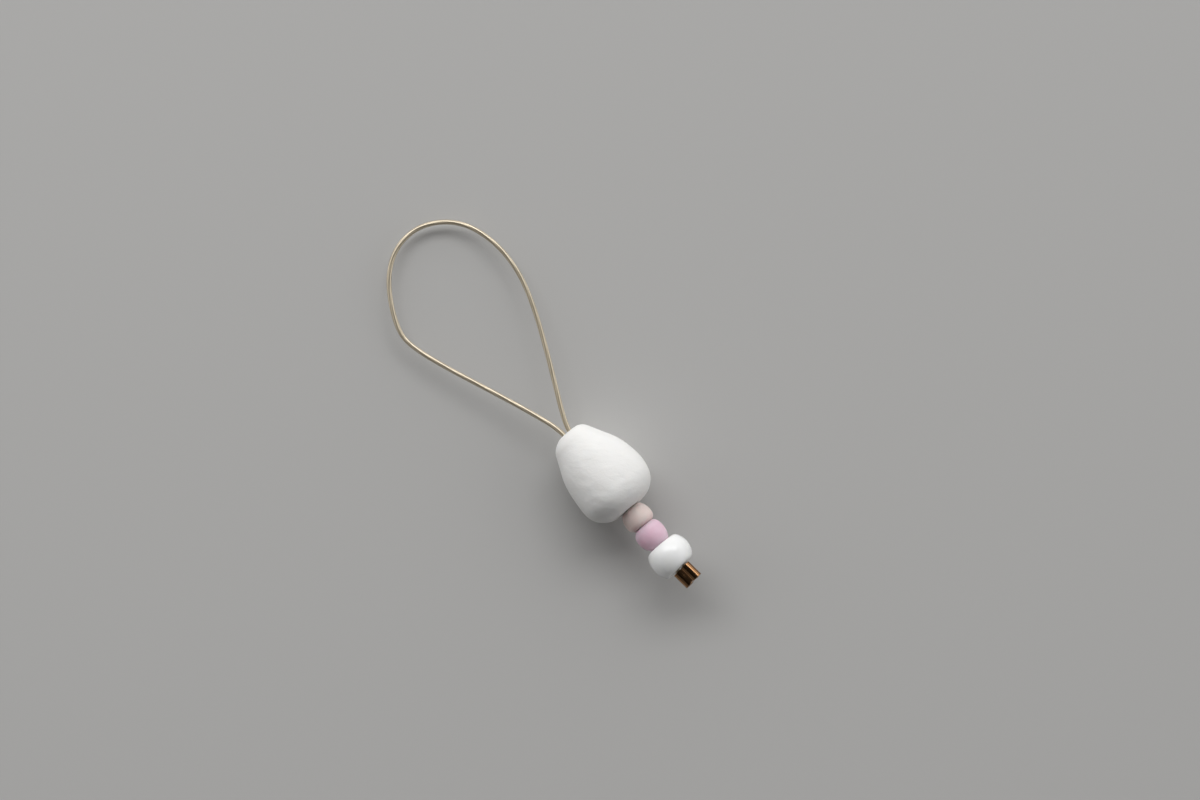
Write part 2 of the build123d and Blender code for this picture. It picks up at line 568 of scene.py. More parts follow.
class Effect:
    """A shader node group that several finishes share, built once."""

    name = ""
    inputs: tuple[tuple[str, str, Any], ...] = ()
    outputs: tuple[tuple[str, str], ...] = ()

    def fill(self, graph: Graph, given: Sockets) -> Sockets:
        """Builds the group's own nodes.

        Args:
            graph: the group's graph.
            given: the group's inputs by name.

        Returns:
            The socket for each output by name.
        """
        raise NotImplementedError

    def group(self) -> bpy.types.NodeTree:
        """The node group, built at its first use.

        Returns:
            The group's tree.
        """
        tree = bpy.data.node_groups.get(self.name)
        if tree:
            return tree
        tree = bpy.data.node_groups.new(self.name, "ShaderNodeTree")
        for name, kind, value in self.inputs:
            socket = tree.interface.new_socket(name=name, in_out="INPUT", socket_type=kind)
            socket.default_value = value
        for name, kind in self.outputs:
            tree.interface.new_socket(name=name, in_out="OUTPUT", socket_type=kind)
        graph = Graph(tree)
        entry = graph.add("NodeGroupInput")
        given = {name: entry.outputs[name] for name, _, _ in self.inputs}
        graph.add("NodeGroupOutput", self.fill(graph, given))
        return tree

    def place(self, graph: Graph, **values: Any) -> bpy.types.Node:
        """Places the group in a material.

        Args:
            graph: the material's graph.
            values: a value or socket for each input, by its name in lower case.

        Returns:
            The group's node.
        """
        given = {name: values[name.lower()] for name, _, _ in self.inputs if name.lower() in values}
        return graph.add("ShaderNodeGroup", given, node_tree=self.group())


class ToneDrift(Effect):
    """Slow, uneven drift between a piece's own colour and a second tone."""

    name = "tone_drift"
    inputs = (
        ("Tone", "NodeSocketColor", (0.8, 0.8, 0.8, 1)),
        ("Second", "NodeSocketColor", (0.7, 0.7, 0.7, 1)),
        ("Size", "NodeSocketFloat", 3.0),
        ("Amount", "NodeSocketFloat", 0.5),
    )
    outputs = (("Color", "NodeSocketColor"),)

    def fill(self, graph: Graph, given: Sockets) -> Sockets:
        """Mixes the two tones by a soft cloud.

        Args:
            graph: the group's graph.
            given: the group's inputs by name.

        Returns:
            The socket for each output by name.
        """
        frequency = graph.math("DIVIDE", 1.0, given["Size"])
        cloud = graph.cloud(millimetres(graph), frequency, detail=3.0, Roughness=0.55)
        cover = graph.ramp(cloud, ((0.35, 0), (0.68, 1)))
        factor = graph.math("MULTIPLY", cover, given["Amount"])
        return {"Color": graph.mix(factor, given["Tone"], given["Second"])}


class SurfaceGrain(Effect):
    """Fine grain of a matt surface, with a few small pits."""

    name = "surface_grain"
    inputs = (
        ("Size", "NodeSocketFloat", 0.2),
        ("Pitting", "NodeSocketFloat", 0.3),
    )
    outputs = (("Height", "NodeSocketFloat"),)

    def fill(self, graph: Graph, given: Sockets) -> Sockets:
        """Adds pits to a fine noise.

        Args:
            graph: the group's graph.
            given: the group's inputs by name.

        Returns:
            The socket for each output by name.
        """
        place = millimetres(graph)
        frequency = graph.math("DIVIDE", 1.0, given["Size"])
        grain = graph.cloud(place, frequency, detail=4.0, Roughness=0.6)
        pits = graph.add(
            "ShaderNodeTexVoronoi",
            {"Vector": place, "Scale": graph.math("MULTIPLY", frequency, 0.35)},
        ).outputs["Distance"]
        floor = graph.ramp(pits, ((0.0, 0), (0.22, 1)))
        depth = graph.math("MULTIPLY", graph.math("SUBTRACT", floor, 1.0), given["Pitting"])
        return {"Height": graph.math("ADD", grain, depth)}


class HandlingMarks(Effect):
    """Faint smudges and hairline scratches, as a roughness."""

    name = "handling_marks"
    inputs = (
        ("Clean", "NodeSocketFloat", 0.1),
        ("Worn", "NodeSocketFloat", 0.3),
        ("Size", "NodeSocketFloat", 1.5),
        ("Scratches", "NodeSocketFloat", 0.2),
    )
    outputs = (("Roughness", "NodeSocketFloat"), ("Scratch", "NodeSocketFloat"))

    def fill(self, graph: Graph, given: Sockets) -> Sockets:
        """Blends two roughnesses by smudges, and lays thin scratches over them.

        Args:
            graph: the group's graph.
            given: the group's inputs by name.

        Returns:
            The socket for each output by name.
        """
        place = millimetres(graph)
        frequency = graph.math("DIVIDE", 1.0, given["Size"])
        smudge = graph.cloud(place, frequency, detail=5.0, Roughness=0.6)
        cover = graph.ramp(smudge, ((0.42, 0), (0.7, 1)))
        stretched = graph.add(
            "ShaderNodeMapping", {"Vector": place, "Rotation": (0.3, 0.5, 0.9), "Scale": (9.0, 0.7, 9.0)}
        ).outputs[0]
        lines = graph.cloud(stretched, 1.0, detail=2.0)
        scratch = graph.ramp(lines, ((0.62, 0), (0.66, 1)))
        scratch = graph.math("MULTIPLY", scratch, given["Scratches"])
        share = graph.math("MINIMUM", graph.math("ADD", cover, scratch), 1.0)
        span = graph.math("SUBTRACT", given["Worn"], given["Clean"])
        rough = graph.math("ADD", given["Clean"], graph.math("MULTIPLY", span, share))
        return {"Roughness": rough, "Scratch": scratch}


# Finishes


class Finish:
    """A finish: its material is made at its first use."""

    name: str

    def material(self) -> bpy.types.Material:
        """The finish's material.

        Returns:
            The material, built once.
        """
        made = bpy.data.materials.get(self.name)
        if made:
            return made
        made = bpy.data.materials.new(self.name)
        made.use_nodes = True
        made.node_tree.nodes.clear()
        graph = Graph(made.node_tree)
        graph.add("ShaderNodeOutputMaterial", {"Surface": self.surface(graph)})
        return made

    def surface(self, graph: Graph) -> bpy.types.NodeSocket:
        """Builds the finish's shader in a graph and returns its output."""
        raise NotImplementedError

    def dress(self, piece: bpy.types.Object) -> None:
        """Puts the finish on a piece."""
        piece.data.materials.clear()
        piece.data.materials.append(self.material())


@dataclass(frozen=True)
class ClayFinish(Finish):
    """Matt air-dried clay, off-white, with a dry grain."""

    name: str = "dry_white_clay"
    tone: Colour = (0.87, 0.865, 0.85)
    second: Colour = (0.80, 0.785, 0.76)
    roughness: float = 0.9
    grain_size: float = 0.16
    grain_depth: float = 0.014
    subsurface: float = 0.08
    smear_turn: float = 49.7
    smear_size: tuple[float, float, float] = (1.1, 0.55, 0.6)
    smear_depth: float = 0.045

    def surface(self, graph: Graph) -> bpy.types.NodeSocket:
        """Chalky clay: a drifting tone, smears from the fingers that formed it, a grain and no gloss.

        Args:
            graph: the material's graph.

        Returns:
            The shader's output.
        """
        tone = ToneDrift().place(
            graph, tone=opaque(self.tone), second=opaque(self.second), size=3.2, amount=0.4
        )
        drawn_out = graph.add(
            "ShaderNodeMapping",
            {
                "Vector": millimetres(graph),
                "Rotation": (0, 0, math.radians(self.smear_turn)),
                "Scale": self.smear_size,
            },
            vector_type="TEXTURE",
        ).outputs[0]
        smears = graph.cloud(drawn_out, 1.0, detail=2.0, Roughness=0.45, Distortion=0.3)
        smeared = graph.relief(smears, self.smear_depth)
        grain = SurfaceGrain().place(graph, size=self.grain_size, pitting=0.35)
        grained = graph.relief(grain.outputs["Height"], self.grain_depth, under=smeared)
        shader = graph.add(
            "ShaderNodeBsdfPrincipled",
            {
                "Base Color": tone.outputs["Color"],
                "Roughness": self.roughness,
                "Specular IOR Level": 0.25,
                "Subsurface Weight": self.subsurface,
                "Subsurface Radius": (0.6 * MM, 0.5 * MM, 0.4 * MM),
                "Subsurface Scale": 1.0,
                "Normal": grained,
            },
        )
        return shader.outputs[0]


@dataclass(frozen=True)
class FrostedGlassFinish(Finish):
    """Opaque seed-bead glass with an etched, silky skin."""

    name: str
    tone: Colour
    second: Colour
    sheen_tint: Colour
    roughness: float = 0.5
    smudge: float = 0.14
    grain_size: float = 0.09
    grain_depth: float = 0.004

    def surface(self, graph: Graph) -> bpy.types.NodeSocket:
        """Etched glass: a soft gloss over a body that light sinks into a little.

        Args:
            graph: the material's graph.

        Returns:
            The shader's output.
        """
        tone = ToneDrift().place(
            graph, tone=opaque(self.tone), second=opaque(self.second), size=1.4, amount=0.6
        )
        grain = SurfaceGrain().place(graph, size=self.grain_size, pitting=0.5)
        marks = HandlingMarks().place(
            graph, clean=self.roughness, worn=self.roughness + self.smudge, size=0.8, scratches=0.1
        )
        grained = graph.relief(grain.outputs["Height"], self.grain_depth)
        shader = graph.add(
            "ShaderNodeBsdfPrincipled",
            {
                "Base Color": tone.outputs["Color"],
                "Roughness": marks.outputs["Roughness"],
                "Specular IOR Level": 0.5,
                "Subsurface Weight": 1.0,
                "Subsurface Radius": (2.0 * MM, 1.5 * MM, 1.6 * MM),
                "Subsurface Scale": 1.0,
                "Sheen Weight": 0.15,
                "Sheen Roughness": 0.5,
                "Sheen Tint": opaque(self.sheen_tint),
                "Normal": grained,
            },
        )
        return shader.outputs[0]


@dataclass(frozen=True)
class PearlGlassFinish(Finish):
    """Opaque white glass with a high gloss."""

    name: str = "glossy_white_glass"
    tone: Colour = (0.92, 0.925, 0.92)
    second: Colour = (0.88, 0.88, 0.87)

    def surface(self, graph: Graph) -> bpy.types.NodeSocket:
        """Polished glass: a body of milky white under a clear skin with faint finger marks.

        Args:
            graph: the material's graph.

        Returns:
            The shader's output.
        """
        tone = ToneDrift().place(
            graph, tone=opaque(self.tone), second=opaque(self.second), size=2.0, amount=0.5
        )
        marks = HandlingMarks().place(graph, clean=0.17, worn=0.26, size=0.9, scratches=0.2)
        shader = graph.add(
            "ShaderNodeBsdfPrincipled",
            {
                "Base Color": tone.outputs["Color"],
                "Roughness": marks.outputs["Roughness"],
                "IOR": 1.53,
                "Subsurface Weight": 0.3,
                "Subsurface Radius": (0.6 * MM, 0.6 * MM, 0.55 * MM),
                "Subsurface Scale": 1.0,
            },
        )
        return shader.outputs[0]


@dataclass(frozen=True)
class CrimpFinish(Finish):
    """Polished dark bronze plating on the crimp tube."""

    name: str = "polished_dark_bronze"
    tone: Colour = (0.37, 0.205, 0.1)
    second: Colour = (0.29, 0.15, 0.07)
    scratch_depth: float = 0.002

    def surface(self, graph: Graph) -> bpy.types.NodeSocket:
        """Plated metal with faint drawing lines and rubbed patches.

        Args:
            graph: the material's graph.

        Returns:
            The shader's output.
        """
        tone = ToneDrift().place(
            graph, tone=opaque(self.tone), second=opaque(self.second), size=0.8, amount=0.5
        )
        marks = HandlingMarks().place(graph, clean=0.08, worn=0.2, size=0.5, scratches=0.4)
        scratched = graph.relief(marks.outputs["Scratch"], self.scratch_depth, strength=0.6)
        shader = graph.add(
            "ShaderNodeBsdfPrincipled",
            {
                "Base Color": tone.outputs["Color"],
                "Metallic": 1.0,
                "Roughness": marks.outputs["Roughness"],
                "Normal": scratched,
            },
        )
        return shader.outputs[0]


@dataclass(frozen=True)
class WireFinish(Finish):
    """Champagne-gold beading wire: fine steel strands under a clear nylon coat."""

    name: str = "champagne_beading_wire"
    tone: Colour = (0.74, 0.65, 0.50)
    # the darker colour below is painted shade for the gaps between strands; the tone drift also leans
    # towards it
    gap_shade_tone: Colour = (0.38, 0.31, 0.20)
    strands: int = WIRE_STRANDS
    strand_depth: float = 0.012

    def surface(self, graph: Graph) -> bpy.types.NodeSocket:
        """Strands drawn from the wire's own map, whose u is the turn round it less the strands' twist; the
        gaps between the strands get a darker colour as painted shade.

        Args:
            graph: the material's graph.

        Returns:
            The shader's output.
        """
        wire_map = graph.add("ShaderNodeUVMap", uv_map="strands").outputs[0]
        across = graph.add("ShaderNodeSeparateXYZ", {0: wire_map}).outputs[0]
        phase = graph.math("MULTIPLY", across, 2 * math.pi * self.strands)
        level = graph.zero_to_one(graph.math("COSINE", phase))
        # painted shade: the gaps between the strands are coloured darker, and the strand crests keep the
        # wire's tone
        lit = graph.ramp(level, ((0.0, 0), (0.35, 1)))
        shaded_strand_tone = graph.mix(lit, opaque(self.gap_shade_tone), opaque(self.tone))
        drift = ToneDrift().place(
            graph, tone=shaded_strand_tone, second=opaque(self.gap_shade_tone), size=2.5, amount=0.25
        )
        marks = HandlingMarks().place(graph, clean=0.3, worn=0.42, size=1.2, scratches=0.2)
        stranded = graph.relief(level, self.strand_depth, strength=0.3)
        shader = graph.add(
            "ShaderNodeBsdfPrincipled",
            {
                "Base Color": drift.outputs["Color"],
                "Metallic": 0.6,
                "Roughness": marks.outputs["Roughness"],
                "Coat Weight": 0.6,
                "Coat Roughness": 0.12,
                "Coat IOR": 1.5,
                "Normal": stranded,
            },
        )
        return shader.outputs[0]


@dataclass(frozen=True)
class FloorFinish(Finish):
    """Plain pale grey surface under the marker."""

    name: str = "pale_floor"
    tone: Colour = (0.515, 0.51, 0.50)

    def surface(self, graph: Graph) -> bpy.types.NodeSocket:
        """A matt surface of one colour."""
        shader = graph.add(
            "ShaderNodeBsdfPrincipled",
            {"Base Color": opaque(self.tone), "Roughness": 0.9, "Specular IOR Level": 0.2},
        )
        return shader.outputs[0]


BLUSH_GLASS = FrostedGlassFinish(
    name="blush_frosted_glass",
    tone=(0.76, 0.63, 0.60),
    second=(0.70, 0.55, 0.50),
    sheen_tint=(0.95, 0.88, 0.85),
)
MAUVE_GLASS = FrostedGlassFinish(
    name="mauve_frosted_glass",
    tone=(0.74, 0.53, 0.62),
    second=(0.69, 0.45, 0.555),
    sheen_tint=(0.95, 0.85, 0.92),
)


# Beading wire


@dataclass
class BeadingWire:
    """The wire: one length doubled back, with its free loop and its two ends through the beads.

    Attributes:
        gap: what lies between the two halves, side by side in the beads.
        root: where the free loop meets the two ends, from the clay bead's mouth inward.
        relief: how deep the gaps between the strands are.
        pitch: the length in which the strands turn by one strand's place round the wire.
        sides: how many points go round the wire.
        resolution: how many steps each stretch of a route has.
        splay_start: how far before the pearl bead's end the two ends begin to part.
        splay_lead: how far before the crimp they point along its channels.
        end_recess: how far the cut ends lie inside the crimp.
        stub_inset: how far the cut strands lie inside the wire's skin.
        stub_profile: a cut strand's width and height at each of its rings, as shares.
        free_length: the free loop's own length; not used.
        blend_far: the place along the wire up to which the loop stays with the wire; not used.
        blend_near: the place from which the loop goes with the beads; not used.
        loop_route: the loop's way from the bead's mouth and back: along the wire, across it, and its rise.
    """

    diameter: float = WIRE_DIAMETER
    gap: float = 0.04
    root: float = 0.9
    strands: int = WIRE_STRANDS
    relief: float = 0.004
    pitch: float = 3.3
    sides: int = 42
    resolution: int = 14
    splay_start: float = 1.15
    splay_lead: float = 0.3
    end_recess: float = 0.12
    stub_radius: float = 0.068
    stub_height: float = 0.03
    stub_inset: float = 0.02
    stub_sides: int = 12
    stub_profile: Stations = ((1, -1), (1, 0.6), (0.75, 1))
    smooth_below: float = 50
    free_length: float = 62.6
    blend_far: float = -24
    blend_near: float = -2
    loop_route: tuple[tuple[float, float, float], ...] = (
        (-0.3, 0.27, 0),
        (-2.5, 1.17, 0),
        (-7.0, 3.42, 0),
        (-11.6, 5.52, 0.05),
        (-15.6, 6.85, 0.1),
        (-19.8, 6.95, 0.2),
        (-23.5, 5.6, 0.3),
        (-25.7, 2.6, 0.35),
        (-25.8, -0.6, 0.35),
        (-24.2, -3.3, 0.3),
        (-21.4, -5.25, 0.25),
        (-18.7, -6.33, 0.2),
        (-16.8, -6.2, 0.15),
        (-13.3, -5.05, 0.1),
        (-8.0, -2.9, 0.05),
        (-3.4, -1.12, 0),
        (-0.7, -0.27, 0),
    )

    def offset(self) -> float:
        """How far each half of the wire lies from the middle of the pair."""
        return (self.diameter + self.gap) / 2

    def tube(self, line: np.ndarray, name: str, cut_end: bool) -> bpy.types.Object:
        """A stranded tube along a line.

        Args:
            line: the points that it follows, in metres.
            name: the piece's name.
            cut_end: whether its far end shows the cut strands.

        Returns:
            The tube, with the map that its finish draws the strands by.
        """
        tangents = np.gradient(line, axis=0)
        tangents /= np.linalg.norm(tangents, axis=1)[:, None]
        travelled = travelled_along(line) / MM
        side = np.cross((0, 0, 1), tangents[0])
        side /= np.linalg.norm(side)
        angles = even_turns(self.sides)
        rings = []
        for point, tangent, distance in zip(line, tangents, travelled):
            side = side - tangent * (side @ tangent)
            side /= np.linalg.norm(side)
            top = np.cross(tangent, side)
            twist = 2 * math.pi * distance / self.pitch
            lobes = 0.5 * np.cos(self.strands * (angles - twist / self.strands)) - 0.5
            radius = (self.diameter / 2 + self.relief * lobes) * MM
            ring = np.outer(radius * np.cos(angles), side) + np.outer(radius * np.sin(angles), top)
            rings.append(point + ring)
        shell = Shell()
        numbers = shell.add_points(np.array(rings))
        shell.add_bands(numbers, closed_along=False)
        shell.add_cap(numbers[0], line[0], outward=False)
        shell.add_cap(numbers[-1], line[-1], outward=True)
        if cut_end:
            self.add_stubs(shell, line[-1], tangents[-1], side)
        piece = shell.build(name, smooth_below=self.smooth_below)
        self.map_strands(piece, travelled)
        return piece

    def add_stubs(self, shell: Shell, end: np.ndarray, ahead: np.ndarray, side: np.ndarray) -> None:
        """Adds the cut strands that stand a little proud of a wire's end.

        Args:
            shell: the shell that they join.
            end: the middle of the wire's end, in metres.
            ahead: the direction that the wire points in.
            side: a direction square to it.
        """
        top = np.cross(ahead, side)
        around = self.diameter / 2 - self.stub_radius - self.relief - self.stub_inset
        places = [(0.0, 0.0)]
        for turn in even_turns(self.strands - 1):
            places.append((around * math.cos(turn), around * math.sin(turn)))
        angles = even_turns(self.stub_sides)
        circle = np.outer(np.cos(angles), side) + np.outer(np.sin(angles), top)
        for along_side, along_top in places:
            middle = end + MM * (along_side * side + along_top * top)
            rings = []
            for width_share, height_share in self.stub_profile:
                centre = middle + ahead * MM * self.stub_height * height_share
                rings.append(centre + MM * self.stub_radius * width_share * circle)
            numbers = shell.add_points(np.array(rings))
            shell.add_bands(numbers, closed_along=False)
            shell.add_cap(numbers[-1], middle + ahead * MM * self.stub_height, outward=True)
            shell.add_cap(numbers[0], middle - ahead * MM * self.stub_height, outward=False)

    def map_strands(self, piece: bpy.types.Object, travelled: np.ndarray) -> None:
        """Lays the strand map on a tube: u is the turn round it less the twist, v the length in pitches.

        Args:
            piece: the tube; its ring vertices come first.
            travelled: the length up to each ring, in millimetres.
        """
        layer = piece.data.uv_layers.new(name="strands")
        ringed = len(travelled) * self.sides
        for polygon in piece.data.polygons:
            turns = []
            for loop_index in polygon.loop_indices:
                vertex = piece.data.loops[loop_index].vertex_index
                if vertex >= ringed:
                    turns.append((0.0, 0.0))
                    continue
                ring, place = divmod(vertex, self.sides)
                turn = place / self.sides - travelled[ring] / self.pitch / self.strands
                turns.append((turn, travelled[ring] / self.pitch))
            low = min(turn for turn, _ in turns)
            for loop_index, (turn, length) in zip(polygon.loop_indices, turns):
                wraps = turn - low > 0.5
                layer.data[loop_index].uv = (turn - 1 if wraps else turn, length)

    def build_loop(self, wire: LocalFrame, finish: WireFinish) -> bpy.types.Object:
        """The free loop that the needle passes through.

        Args:
            wire: the wire's frame.
            finish: the wire's finish.

        Returns:
            The loop.
        """
        start = (self.root, self.offset(), 0)
        end = (self.root, -self.offset(), 0)
        route = [wire.point(*place) for place in (start, *self.loop_route, end)]
        line = route_line(route, self.resolution)
        loop = self.tube(line, "beading_wire_loop", cut_end=False)
        finish.dress(loop)
        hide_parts("wire_loop")
        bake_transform(loop)
        return loop

    def build_end(
        self, wire: LocalFrame, crimp: Crimp, pearl: NodeMeasure, side: Side, finish: WireFinish
    ) -> bpy.types.Object:
        """One wire end, from the loop's root through the beads into its channel of the crimp.

        Args:
            wire: the wire's frame.
            crimp: the crimp that grips it.
            pearl: where the last bead lies.
            side: which of the two ends it is.
            finish: the wire's finish.

        Returns:
            The wire end.
        """
        beside = side.value * self.offset()
        channel = side.value * crimp.pitch / 2
        grip = crimp.frame_on(wire)
        splay = pearl.end - self.splay_start
        straight = [(self.root, beside, 0), (splay - self.splay_start, beside, 0), (splay, beside, 0)]
        route = [wire.point(*place) for place in straight]
        route += [grip.point(-self.splay_lead, channel), grip.point(crimp.length - self.end_recess, channel)]
        line = route_line(route, self.resolution)
        word = side.name.lower()
        piece = self.tube(line, f"{word}_wire_end", cut_end=True)
        finish.dress(piece)
        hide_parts(f"{word}_wire_tail")
        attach(piece, "wire")
        return piece


# Beads


@dataclass(frozen=True)
class Crease:
    """A shallow crease or dent in the clay, on its upper side: a line between two places seen from above."""

    start: tuple[float, float]
    end: tuple[float, float]
    width: float
    depth: float

    def cut(self, along: np.ndarray, left: np.ndarray, wobble: np.ndarray) -> np.ndarray:
        """How deep the crease is at each place.

        Args:
            along: the places along the wire.
            left: the places across it.
            wobble: unevenness that shifts the crease sideways.

        Returns:
            The depth at each place, in millimetres.
        """
        first = np.array(self.start)
        run = np.array(self.end) - first
        reach = max(run @ run, TINY)
        share = np.clip(((along - first[0]) * run[0] + (left - first[1]) * run[1]) / reach, 0, 1)
        gone_along = along - first[0] - share * run[0]
        gone_left = left - first[1] - share * run[1] + wobble * self.width / 2
        away = np.hypot(gone_along, gone_left) / self.width
        return self.depth * np.exp(-away * away)


@dataclass
class ClayBead:
    """The hand-formed clay bead: narrow and rounded at the mouth, widest towards its other end.

    Attributes:
        shoulder_place: about where it is widest, from the mouth.
        crown_width: its width at the end by the blush bead, before that end is rounded.
        dimple_width: the width of the hollow round each end of the bore.
        floor_blend: over how much height the edge of its flat is soft.
        swell: how high the slow swells are, that fingers leave.
        lump: how high the smaller lumps are.
        flank_share: how much its section leans to a few flat flanks, as a share of its width.
        flank_turn: how far the flanks are turned round the wire, in radians.
        middle_route: how far its middle lies to the left of the wire, from mouth to end.
        creases: the creases and dents on its upper side.
    """

    shoulder_place: float = 4.8
    mouth_width: float = 3.6
    shoulder_width: float = 8.2
    crown_width: float = 7.76
    mouth_round: float = 2.07
    shoulder_round: float = 9.26
    crown_round: float = 2.6
    dimple_width: float = 2.3
    dimple_depth: float = 0.5
    sides: int = 220
    step: float = 0.12
    bore_step: float = 1.0
    floor_blend: float = 0.35
    swell: float = 0.16
    swell_size: float = 4.5
    swell_seed: float = 3.7
    lump: float = 0.045
    lump_size: float = 1.5
    lump_seed: float = 8.1
    wobble_size: float = 0.7
    wobble_seed: float = 5.2
    flank_share: float = 0.012
    flanks: int = 3
    flank_turn: float = 0.6
    middle_route: Stations = (
        (-0.25, 0.14),
        (0.9, -0.03),
        (3.0, -0.01),
        (5.9, 0.11),
        (8.5, 0.08),
        (9.65, 0.08),
    )
    creases: tuple[Crease, ...] = (
        Crease((4.6, -2.0), (5.2, -1.4), 0.4, 0.03),
        Crease((6.5, -1.6), (7.2, -0.9), 0.35, 0.02),
        Crease((7.2, -2.4), (7.6, -1.9), 0.35, 0.025),
        Crease((3.1, -1.9), (3.25, -1.7), 0.45, 0.02),
    )

    def outline(self, bead: NodeMeasure) -> np.ndarray:
        """The bead's outline, from the mouth's bore edge round the outside and back through the bore.

        Args:
            bead: where the bead lies.

        Returns:
            Rows of place along and distance out, with both ends dimpled round the bore.
        """
        corners = (
            Corner(bead.start, 0),
            Corner(bead.start, self.mouth_width / 2, self.mouth_round),
            Corner(bead.start + self.shoulder_place, self.shoulder_width / 2, self.shoulder_round),
            Corner(bead.end, self.crown_width / 2, self.crown_round),
            Corner(bead.end, 0),
        )
        skin = rounded_outline(corners, self.step)
        skin = skin[skin[:, 1] > bead.bore]
        skin = np.vstack([[skin[0, 0], bead.bore], skin, [skin[-1, 0], bead.bore]])
        dimple = np.clip(1 - (skin[:, 1] - bead.bore) / (self.dimple_width / 2 - bead.bore), 0, 1)
        inward = np.where(skin[:, 0] < bead.start + self.shoulder_place, 1, -1)
        skin[:, 0] += inward * self.dimple_depth * dimple * dimple
        return closed_through_bore(skin, self.bore_step)

    def build(self, wire: LocalFrame, finish: ClayFinish) -> bpy.types.Object:
        """Makes the bead.

        Args:
            wire: the wire's frame.
            finish: the clay's finish.

        Returns:
            The bead, riding on its body.
        """
        bead = NodeMeasure.of("clay_bead", wire)
        outline = self.outline(bead)
        along, out, angle = spun(outline, self.sides)
        skin = np.clip((out - bead.bore) / (self.dimple_width / 2 - bead.bore), 0, 1)
        place = np.column_stack([along, out * np.cos(angle), out * np.sin(angle)])
        uneven = self.swell * ripple(place, self.swell_size, self.swell_seed)
        uneven += self.lump * ripple(place, self.lump_size, self.lump_seed)
        uneven += self.flank_share * out * np.cos(self.flanks * angle + self.flank_turn)
        wobble = ripple(place, self.wobble_size, self.wobble_seed)
        for crease in self.creases:
            uneven -= np.where(place[:, 2] > 0, crease.cut(along, place[:, 1], wobble), 0)
        reach = out + uneven * skin
        left = reach * np.cos(angle) + eased(self.middle_route, along) * skin
        points = wire.points(np.column_stack([along, left, reach * np.sin(angle)]))
        points[:, 2] = smooth_floor(points[:, 2], 0, self.floor_blend * MM)
        piece = bead_shell(points, self.sides, "clay_bead_body")
        finish.dress(piece)
        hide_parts("clay_bead")
        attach(piece, "clay_bead")
        return piece


@dataclass
class TurnedBead:
    """A glass bead turned about the wire, a little uneven as glass beads are.

    Its skin is a bulged curve, cut off at the bead's two ends.

    Attributes:
        node: the CAD node that the bead replaces.
        slot: its finish in the record; not used.
        finish: its finish here.
        power: the curve's fullness; 2 is a ball's, and more comes nearer to a barrel.
        reach_share: how far the uncut curve would reach, as a share of half the bead's length.
        edge_round: how far its corners are softened.
        seat: how far each end presses on its neighbour.
        beside: how far its skin lies to the left of the wire.
        crown_shift: how far its widest place lies from the middle towards the crimp.
        end_lean: how many degrees the end by the crimp leans, so that the left side is shorter.
    """

    node: str
    slot: Slot
    finish: Finish
    power: float = 2.4
    reach_share: float = 1.2
    edge_round: float = 0.08
    seat: float = 0.02
    beside: float = 0
    crown_shift: float = 0
    end_lean: float = 0
    sides: int = 128
    step: float = 0.05
    bore_step: float = 0.5
    unevenness: float = 0.02
    unevenness_size: float = 1.6
    seed: float = 1.0

    def outline(self, bead: NodeMeasure) -> np.ndarray:
        """The bead's outline, from one bore edge over the skin and back through the bore.

        Args:
            bead: where the bead lies.

        Returns:
            Rows of place along and distance out.
        """
        middle = (bead.start + bead.end) / 2
        half = (bead.end - bead.start) / 2 + self.seat
        reach = half * self.reach_share
        turn_end = math.asin((half / reach) ** (self.power / 2))
        count = math.ceil(2 * bead.radius * turn_end / self.step)
        rows = [(middle - half, bead.bore)]
        for k in range(count + 1):
            turn = turn_end * (2 * k / count - 1)
            along = math.copysign(abs(math.sin(turn)) ** (2 / self.power), turn)
            place = reach * along + self.crown_shift * (1 - (reach * along / half) ** 2)
            rows.append((middle + place, bead.radius * math.cos(turn) ** (2 / self.power)))
        rows.append((middle + half, bead.bore))
        skin = self.softened(np.array(rows))
        return closed_through_bore(skin, self.bore_step)

    def softened(self, line: np.ndarray) -> np.ndarray:
        """Splits a line evenly and rounds its corners by averaging neighbours.

        Args:
            line: the line's points.

        Returns:
            The even, softened line between the same two ends.
        """
        lengths = travelled_along(line)
        marks = np.linspace(0, lengths[-1], math.ceil(lengths[-1] / self.step) + 1)
        even = np.column_stack([np.interp(marks, lengths, line[:, axis]) for axis in (0, 1)])
        for _ in range(round((self.edge_round / self.step) ** 2)):
            even[1:-1] = (even[:-2] + 2 * even[1:-1] + even[2:]) / 4
        return even

    def build(self, wire: LocalFrame) -> bpy.types.Object:
        """Makes the bead.

        Args:
            wire: the wire's frame.

        Returns:
            The bead, riding on its body.
        """
        bead = NodeMeasure.of(self.node, wire)
        outline = self.outline(bead)
        along, out, angle = spun(outline, self.sides)
        place = np.column_stack([along, out * np.cos(angle), out * np.sin(angle)])
        skin = (out - bead.bore) / (bead.radius - bead.bore)
        reach = out + self.unevenness * ripple(place, self.unevenness_size, self.seed) * skin
        left = reach * np.cos(angle)
        ahead = np.clip((along - bead.start) / (bead.end - bead.start), 0, 1)
        along = along - ahead * left * math.tan(math.radians(self.end_lean))
        points = wire.points(np.column_stack([along, left + self.beside * skin, reach * np.sin(angle)]))
        piece = bead_shell(points, self.sides, f"{self.node}_glass")
        self.finish.dress(piece)
        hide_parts(self.node)
        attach(piece, self.node)
        return piece


GLASS_BEADS = (
    TurnedBead(
        node="blush_bead",
        slot=Slot.BLUSH,
        finish=BLUSH_GLASS,
        beside=-0.05,
        crown_shift=0.22,
        seed=2.3,
    ),
    TurnedBead(
        node="mauve_bead",
        slot=Slot.MAUVE,
        finish=MAUVE_GLASS,
        beside=-0.12,
        crown_shift=-0.12,
        seed=4.1,
    ),
    TurnedBead(
        node="pearl_bead",
        slot=Slot.PEARL,
        finish=PearlGlassFinish(),
        power=2.0,
        reach_share=1.5,
        edge_round=0.3,
        end_lean=4.0,
        unevenness=0.025,
        unevenness_size=3.0,
        seed=7.9,
    ),
)


# Crimp tube


